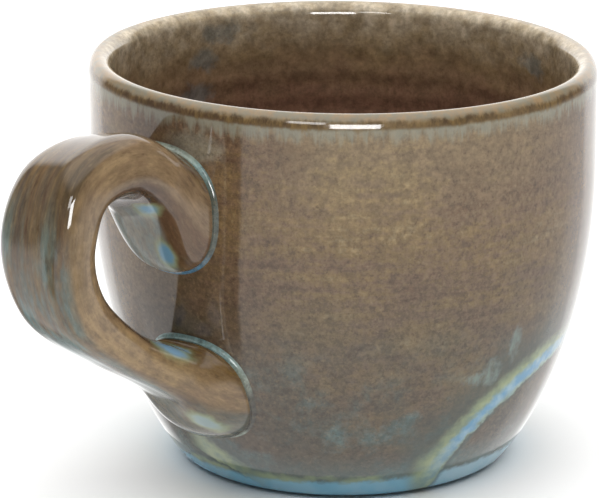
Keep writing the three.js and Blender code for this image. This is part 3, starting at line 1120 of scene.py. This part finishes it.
def inside_colour(w, place):
    """The liner's glaze with a few blue-grey clouds: dark red-brown down in the cup, partly painted shade,
    and lighter near the lip in a tan that is partly painted reflection.
    """
    colour = brown_ground(w, place, w.stretched(place, DRAWN_ROUND_INSIDE))
    height = w.axes(place)[2]
    uneven = w.math("MULTIPLY_ADD", w.noise(place, *INSIDE_LEVELS), INSIDE_UNEVENNESS, height)
    # Darker red-brown down in the cup, partly painted shade
    painted_depth_shade = w.between(uneven, *INSIDE_PAINTED_SHADE)
    colour = w.blend(painted_depth_shade, w.blend(INSIDE_PALENESS, colour, PALE_TAN), DEEP_RED_BROWN)
    # Tan near the lip, partly painted reflection
    tan = w.blend(w.patches(place, LIP_MOTTLE), LIP_PALE, LIP_TAN_AND_SHEEN)
    colour = w.blend(w.between(uneven, *INSIDE_TAN_AND_SHEEN), colour, tan)
    ragged = w.swing(w.noise(place, *CLOUD_EDGES), CLOUD_RAGGEDNESS)
    for centre, size in INSIDE_CLOUDS:
        colour = w.blend(patch(w, place, ragged, centre, size, CLOUD_SHARE), colour, CLOUD_BLUE)
    colour = w.scaled(colour, w.patches(place, INSIDE_TONES))
    return speckled(w, place, colour, INSIDE_GRAIN)


def wall_finish():
    material, w = new_finish("runny_brown_glaze")
    place = place_in_mm(w)
    uphill = Vector((math.cos(HIGH_SIDE), math.sin(HIGH_SIDE), 0)) * (MOUTH_SLOPE / RIM_RADIUS)
    height = w.axes(place)[2]
    level = w.minus(w.plus(height, MOUTH_SLOPE - CUP_HEIGHT), w.vector("DOT_PRODUCT", place, uphill))
    distance = w.vector("LENGTH", w.stretched(place, (1, 1, 0)))
    inside = w.times(w.fading(distance, *LIP_TURNS_IN), w.between(height, *INSIDE_LIP_HEIGHT))
    colour = w.blend(inside, outside_colour(w, place, level), inside_colour(w, place))
    return glossy(w, material, colour, place)


def liner_finish():
    material, w = new_finish("dark_liner_glaze")
    place = place_in_mm(w)
    worn_well = w.fading(w.axes(place)[2], FLOOR_TOP, WORN_WELL_TOP, WORN_WELL_ROUGHNESS)
    return glossy(w, material, inside_colour(w, place), place, worn_well)


# Layers of the handle's glaze, by places across the strap, away from its middle and along it from its upper
# end. Away is positive on the outer face, and past_ridge is away from the crest's ridge.
SIDE_LAYERS = [
    (ORANGE_BROWN, [("along", 24.0, 42.0)]),
    (LILAC_BROWN, [("along", 5.0, 12.0, 0.4, 0.0)]),
    (LILAC_BROWN, [("along", 50.0, 57.0, 0.0, 0.5)]),
    (LILAC_BROWN, [("mottle", 0.3, 0.66, 1.0, 0.0)]),
]
DRAWN_BROWN_LAYERS = [
    (SLATE_BROWN, [("streak", 0.35, 0.6, 0.3, 1.0)]),
    (OLIVE_BROWN, [("fine_streak", 0.35, 0.65, 0.0, 0.6)]),
]
# Pale grey streaks over a tone, laid on the handle as painted sheen and painted reflection
GREY_SHEEN_LAYERS = [(DRIP_AND_SHEEN_GREY, [("streak", 0.4, 0.6)])]
STRAP_LAYERS = [
    ("mottled_side", [("from_middle", 4.4, 6.0, 0.0, 0.85)]),
    (GOLD_BROWN, [("past_ridge", -0.8, 0.8), ("across", 3.0, 4.6), ("along", 20.0, 26.0),
                  ("along", 30.0, 36.0, 1.0, 0.0), ("mottle", 0.35, 0.6, 0.9, 0.4)]),
    ("drawn_brown", [("past_ridge", 1.6, 3.0, 0.0, 0.85)]),
    (TEAL, [("past_ridge", 1.6, 3.0, 0.0, 0.85), ("along", 20.0, 30.0, 0.0, 0.95),
            ("wash", 0.45, 0.68), ("along", 50.0, 56.0, 1.0, 0.4)]),
    # Painted sheen: pale grey streaks on the low outer face of the strap
    ("teal_with_painted_sheen", [("away", 2.0, 4.2), ("along", 34.0, 46.0, 0.0, 0.35), ("along", 53.0, 57.0, 1.0, 0.3)]),
    # Painted shade: darker red-brown on the strap's inner face
    (RED_BROWN, [("away", -3.0, -1.5, 0.7, 0.0), ("along", 48.0, 54.0, 1.0, 0.45)]),
    # Pale teal under the upper lobe, on the strap's inner face, partly painted reflection
    ("pale_lobe_and_painted_reflection", [("away", -4.6, -3.4, 0.6, 0.0), ("along", 8.5, 11.0, 1.0, 0.0),
                   ("across", 2.4, 4.0, 1.0, 0.0)]),
    (GOLD_BROWN, [("along", 53.5, 57.0), ("away", -4.0, -0.5, 1.0, 0.0),
                  ("fine_streak", 0.35, 0.6, 0.9, 0.3)]),
    # Dark streaky brown on the outer face by the crest's ridge, partly painted shade
    (RIDGE_BROWN_AND_SHADE, [("past_ridge", 1.2, 2.6), ("across", 2.0, 4.0), ("along", 11.0, 16.0),
                   ("along", 21.5, 26.5, 1.0, 0.0), ("streak", 0.4, 0.62, 0.15, 0.85)]),
    # Painted shade under the arch, on the inner side of the strap's upper part
    (ARCH_PAINTED_SHADE, [("away", -3.2, 0.2, 0.75, 0.0), ("along", 6.0, 12.0), ("along", 16.0, 22.0, 1.0, 0.0)]),
]
RIDGE_SHIFT = (12.0, 20.0, -1.0, 0.0)
WASH_GROWTH = (26.0, 38.0, 0.0, 0.1)


def strap_values(w, place, spot):
    """Places on the strap, with the streaks, mottle and tones that are drawn out along it."""
    across, away, along = w.axes(spot)
    streak = w.noise(w.stretched(spot, DRAWN_ALONG_STRAP), *STRAP_STREAK)
    fine_streak = w.noise(w.stretched(spot, DRAWN_FINE), *FINE_STREAK)
    broad = w.noise(place, *STRAP_MOTTLE)
    wash = w.noise(w.stretched(spot, DRAWN_LOOSE), *WASH_THICKNESS)
    values = dict(across=across, away=away, along=along, streak=streak, fine_streak=fine_streak)
    values["from_middle"] = w.math("ABSOLUTE", across)
    values["past_ridge"] = w.plus(away, w.between(along, *RIDGE_SHIFT))
    values["mottle"] = w.weighed((broad, streak, fine_streak), STRAP_MOTTLE_WEIGHTS)
    values["wash"] = w.plus(wash, w.between(along, *WASH_GROWTH))
    values["mottled_side"] = layered(w, TAN_BROWN, values, SIDE_LAYERS)
    values["drawn_brown"] = layered(w, RED_BROWN, values, DRAWN_BROWN_LAYERS)
    values["teal_with_painted_sheen"] = layered(w, TEAL, values, GREY_SHEEN_LAYERS)
    values["pale_lobe_and_painted_reflection"] = layered(w, PALE_TEAL, values, GREY_SHEEN_LAYERS)
    return values


def strap_spots(w, colour, place, spot):
    """Blue spots, each in a green rim."""
    ragged = w.swing(w.noise(place, *SPOT_EDGES), SPOT_RAGGEDNESS)
    for centre, size, core in HANDLE_SPOTS:
        rim = tuple(SPOT_RIM * length for length in size)
        colour = w.blend(patch(w, spot, ragged, centre, rim, SPOT_GREEN), colour, YELLOW_GREEN)
        colour = w.blend(patch(w, spot, ragged, centre, size, SPOT_CORE), colour, core)
    return colour


def handle_finish():
    material, w = new_finish("drawn_handle_glaze")
    place = place_in_mm(w)
    spot = w.node("ShaderNodeAttribute", attribute_name="strap_place").outputs["Vector"]
    colour = brown_ground(w, place, w.stretched(spot, DRAWN_ALONG_STRAP))
    colour = layered(w, colour, strap_values(w, place, spot), STRAP_LAYERS)
    colour = speckled(w, w.stretched(spot, DRAWN_GRAIN), colour, HANDLE_GRAIN)
    return glossy(w, material, strap_spots(w, colour, place, spot), place)


def bead_finish(name, pad, pools):
    """Pooled glaze that changes colour from the low end of a pad's bead to its top, its pale tones there
    partly painted highlight.
    """
    material, w = new_finish(name)
    place = place_in_mm(w)
    wander = w.plus(w.axes(place)[2], w.swing(w.noise(place, *BEAD_WANDER), BEAD_RAGGEDNESS))
    level = w.math("DIVIDE", w.minus(wander, pad.centre - pad.half_tall), 2 * pad.half_tall)
    return glossy(w, material, speckled(w, place, w.tones(level, pools)), place)


def clay_finish():
    material, w = new_finish("bare_stoneware")
    place = place_in_mm(w)
    body = w.blend(w.noise(place, *CLAY_CLOUD), CLAY_BROWN, CLAY_PALE)
    colour = w.blend(w.patches(place, CLAY_SPECKS), body, CLAY_SPECK)
    sand = w.noise(place, *CLAY_SAND)
    bump = w.node("ShaderNodeBump", {"Strength": CLAY_RELIEF, "Distance": RELIEF_DEPTH, "Height": sand})
    roughness = w.patches(place, CLAY_ROUGHNESS)
    inputs = {"Base Color": colour, "Roughness": roughness, "Normal": bump.outputs[0]}
    return shaded_by(w, material, "ShaderNodeBsdfPrincipled", inputs)


# The cup

wall_glaze = wall_finish()
liner_glaze = liner_finish()
handle_glaze = handle_finish()
upper_bead_glaze = bead_finish("pooled_teal_glaze", upper_pad, UPPER_BEAD_POOLS)
lower_bead_glaze = bead_finish("pooled_milky_glaze", lower_pad, LOWER_BEAD_POOLS)
clay = clay_finish()

outside = outside_outline()
inside = inside_outline()
clay_outside = moved_in(outside, GLAZE)
clay_inside = moved_in(inside, GLAZE)


def add_piece(piece, node):
    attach(piece, "root")
    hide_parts(node)


bowl_outline = [(0, clay_outside[0][1]), *clay_outside, *clay_inside[1:]]
bowl = thrown("thrown_bowl", bowl_outline, False, clay)
add_piece(bowl, "bowl")

foot = thrown("turned_foot", foot_outline(), False, clay, wobble=0.0)
add_piece(foot, "foot")

coat = thrown("outside_glaze_coat", outside + clay_outside[::-1], True, wall_glaze)
add_piece(coat, "outside_glaze")

liner = thrown("liner_glaze_coat", inside + clay_inside[::-1], True, liner_glaze, THROWING_RING_DEPTH)
add_piece(liner, "liner_glaze")

handle_core = strap_piece("pulled_handle", GLAZE, clay)
add_piece(handle_core, "handle")

handle_coat = strap_piece("handle_glaze_coat", 0.0, handle_glaze)
add_piece(handle_coat, "handle_glaze")

upper_bead = pooled_bead("upper_pooled_bead", upper_pad, upper_bead_glaze)
add_piece(upper_bead, "upper_slip_joint")

lower_bead = pooled_bead("lower_pooled_bead", lower_pad, lower_bead_glaze)
add_piece(lower_bead, "lower_slip_joint")


# Floor, light and camera

FLOOR_HALF = 4.0
FLOOR_UNDER_CUP = 0.0245
FLOOR_SIDES = 96
FLOOR_DROP = 0.02 * MM
FLOOR_GREY = (0.93, 0.93, 0.925)
FLOOR_WHITE = (0.95, 0.95, 0.945)
FLOOR_TINT = (0.01, 2.0, 0.5)

# Light from all round, within bounds of a direction's parts
CEILING_LIGHT = 2.6
CEILING_SHEEN = -1.5
CEILING_UP = (0.52, 0.8)
HORIZON_LIGHT = 0.1
TABLE = [("up", -0.27, 0.0, 1.0, 0.0)]
TABLE_SHADE = [("beside", -0.3, -0.1, 1.0, 0.0), ("up", -0.55, -0.4, 1.0, 0.0), ("behind", 0.4, 0.55)]
SHADED_TABLE = 0.35
BACKDROP = [("behind", 0.62, 0.78), ("up", -0.7, -0.4, 0.0, 1.6)]
FAR_TABLE = [("behind", 0.15, 0.6), ("beside", 0.0, 0.2, 0.0, 1.3), ("up", -0.3, -0.1, 1.0, 0.0)]
GAP = [("past_start", 0.0, 0.03), ("before_end", 0.0, 0.03), ("up", -0.74, -0.56), ("up", 0.1, 0.3, 1.0, 0.0)]
GAP_LIGHT = 0.03
GAP_START = math.radians(-34.5)
GAP_END = math.radians(3)
GAP_LEAN = 0.3
# Window panes: azimuth left of the camera, elevation, width and height in degrees, and brightness.
WINDOW_DISTANCE = 1.6
WINDOW_PANES = [
    dict(azimuth=16, elevation=24, width=15.5, height=12, brightness=7),
    dict(azimuth=-5.5, elevation=11, width=22, height=19, brightness=16),
]


def floor_finish():
    material, w = new_finish("pale_floor")
    colour = w.blend(w.noise(place_in_mm(w), *FLOOR_TINT), FLOOR_GREY, FLOOR_WHITE)
    return shaded_by(w, material, "ShaderNodeBsdfDiffuse", {"Color": colour})


def floor_circle(radius):
    turns = [math.tau * step / FLOOR_SIDES for step in range(FLOOR_SIDES)]
    return [(radius * math.cos(turn), radius * math.sin(turn), -FLOOR_DROP) for turn in turns]


def add_floor(name, points, faces, shows_in_glaze, finish):
    mesh = bpy.data.meshes.new(name)
    mesh.from_pydata(points, [], faces)
    mesh.materials.append(finish)
    floor = link_object(name, mesh)
    floor.visible_glossy = shows_in_glaze


def add_floors():
    """A disc of floor that shows in the glaze low on the cup, in a wide ring that does not."""
    finish = floor_finish()
    disc = floor_circle(FLOOR_UNDER_CUP)
    add_floor("floor_under_cup", disc, [tuple(range(FLOOR_SIDES))], True, finish)
    faces = []
    for near in range(FLOOR_SIDES):
        following = (near + 1) % FLOOR_SIDES
        faces.append((near, near + FLOOR_SIDES, following + FLOOR_SIDES, following))
    add_floor("floor", disc + floor_circle(FLOOR_HALF), faces, False, finish)


def toward_camera(azimuth, elevation):
    flat = math.cos(elevation)
    return Vector((math.sin(azimuth) * flat, -math.cos(azimuth) * flat, math.sin(elevation)))


camera_right = Vector((math.cos(CAMERA_AZIMUTH), math.sin(CAMERA_AZIMUTH), 0))


def dimmed(w, light, share, level):
    """Light brought down to a level of itself where a share is 1."""
    return w.times(light, w.math("MULTIPLY_ADD", share, level - 1.0, 1.0))


def direction_parts(w):
    """How far a direction points up, behind the cup, beside it to the right, and past the gap's two edges."""
    direction = w.node("ShaderNodeTexCoord").outputs["Generated"]
    ways = dict(
        up=(0, 0, 1),
        behind=-toward_camera(CAMERA_AZIMUTH, 0),
        beside=camera_right,
        past_start=(-math.sin(GAP_START), math.cos(GAP_START), 0),
        before_end=(math.sin(GAP_END), -math.cos(GAP_END), GAP_LEAN),
    )
    return {name: w.vector("DOT_PRODUCT", direction, way) for name, way in ways.items()}


def light_world():
    """A bright ceiling over a white table, with a dark gap in the light beside the handle."""
    world = bpy.data.worlds.new("studio")
    world.use_nodes = True
    world.node_tree.nodes.clear()
    bpy.context.scene.world = world
    w = Wiring(world.node_tree)
    parts = direction_parts(w)
    rays = w.node("ShaderNodeLightPath").outputs
    overhead = w.math("MULTIPLY_ADD", rays["Is Glossy Ray"], CEILING_SHEEN, CEILING_LIGHT)
    ceiling = w.between(parts["up"], *CEILING_UP, HORIZON_LIGHT, overhead)
    table = dimmed(w, w.within(parts, TABLE), w.within(parts, TABLE_SHADE), SHADED_TABLE)
    light = w.math("MAXIMUM", w.plus(ceiling, table), w.within(parts, BACKDROP))
    light = w.math("MAXIMUM", light, w.within(parts, FAR_TABLE))
    light = dimmed(w, light, w.within(parts, GAP), GAP_LIGHT)
    seen = rays["Is Camera Ray"]
    strength = w.plus(w.times(light, w.minus(1.0, seen)), seen)
    background = w.node("ShaderNodeBackground", {"Color": (1, 1, 1, 1), "Strength": strength})
    w.node("ShaderNodeOutputWorld", {"Surface": background.outputs[0]})


def add_window_pane(pane):
    """A pane of window light that shows in the glaze."""
    lamp = bpy.data.lights.new("window_pane", "AREA")
    lamp.shape = "RECTANGLE"
    lamp.size = 2 * WINDOW_DISTANCE * math.tan(math.radians(pane["width"] / 2))
    lamp.size_y = 2 * WINDOW_DISTANCE * math.tan(math.radians(pane["height"] / 2))
    lamp.energy = pane["brightness"] * math.pi * lamp.size * lamp.size_y
    window = link_object("window_pane", lamp)
    toward = toward_camera(CAMERA_AZIMUTH - math.radians(pane["azimuth"]), math.radians(pane["elevation"]))
    window.location = toward * WINDOW_DISTANCE
    window.rotation_euler = (-toward).to_track_quat("-Z", "Y").to_euler()
    window.visible_camera = False
    window.visible_diffuse = False


def add_camera():
    data = bpy.data.cameras.new("camera")
    data.sensor_width = SENSOR_WIDTH
    data.lens = FOCAL_PIXELS * SENSOR_WIDTH / IMAGE_WIDTH
    data.clip_start = NEAREST_SEEN
    camera = link_object("camera", data)
    back = toward_camera(CAMERA_AZIMUTH, CAMERA_ELEVATION)
    facing = Matrix((camera_right, back.cross(camera_right), back)).transposed()
    yaw = math.atan((AIM_PIXEL[0] - IMAGE_WIDTH / 2) / FOCAL_PIXELS)
    pitch = math.atan((AIM_PIXEL[1] - IMAGE_HEIGHT / 2) / FOCAL_PIXELS)
    aimed = facing @ Matrix.Rotation(yaw, 3, "Y") @ Matrix.Rotation(pitch, 3, "X")
    camera.matrix_world = (aimed @ Matrix.Rotation(CAMERA_ROLL, 3, "Z")).to_4x4()
    camera.location = Vector((0, 0, AIM_HEIGHT * MM)) + back * CAMERA_DISTANCE * MM
    bpy.context.scene.camera = camera


add_floors()
light_world()
for pane in WINDOW_PANES:
    add_window_pane(pane)
add_camera()
bpy.context.scene.view_settings.view_transform = "Standard"
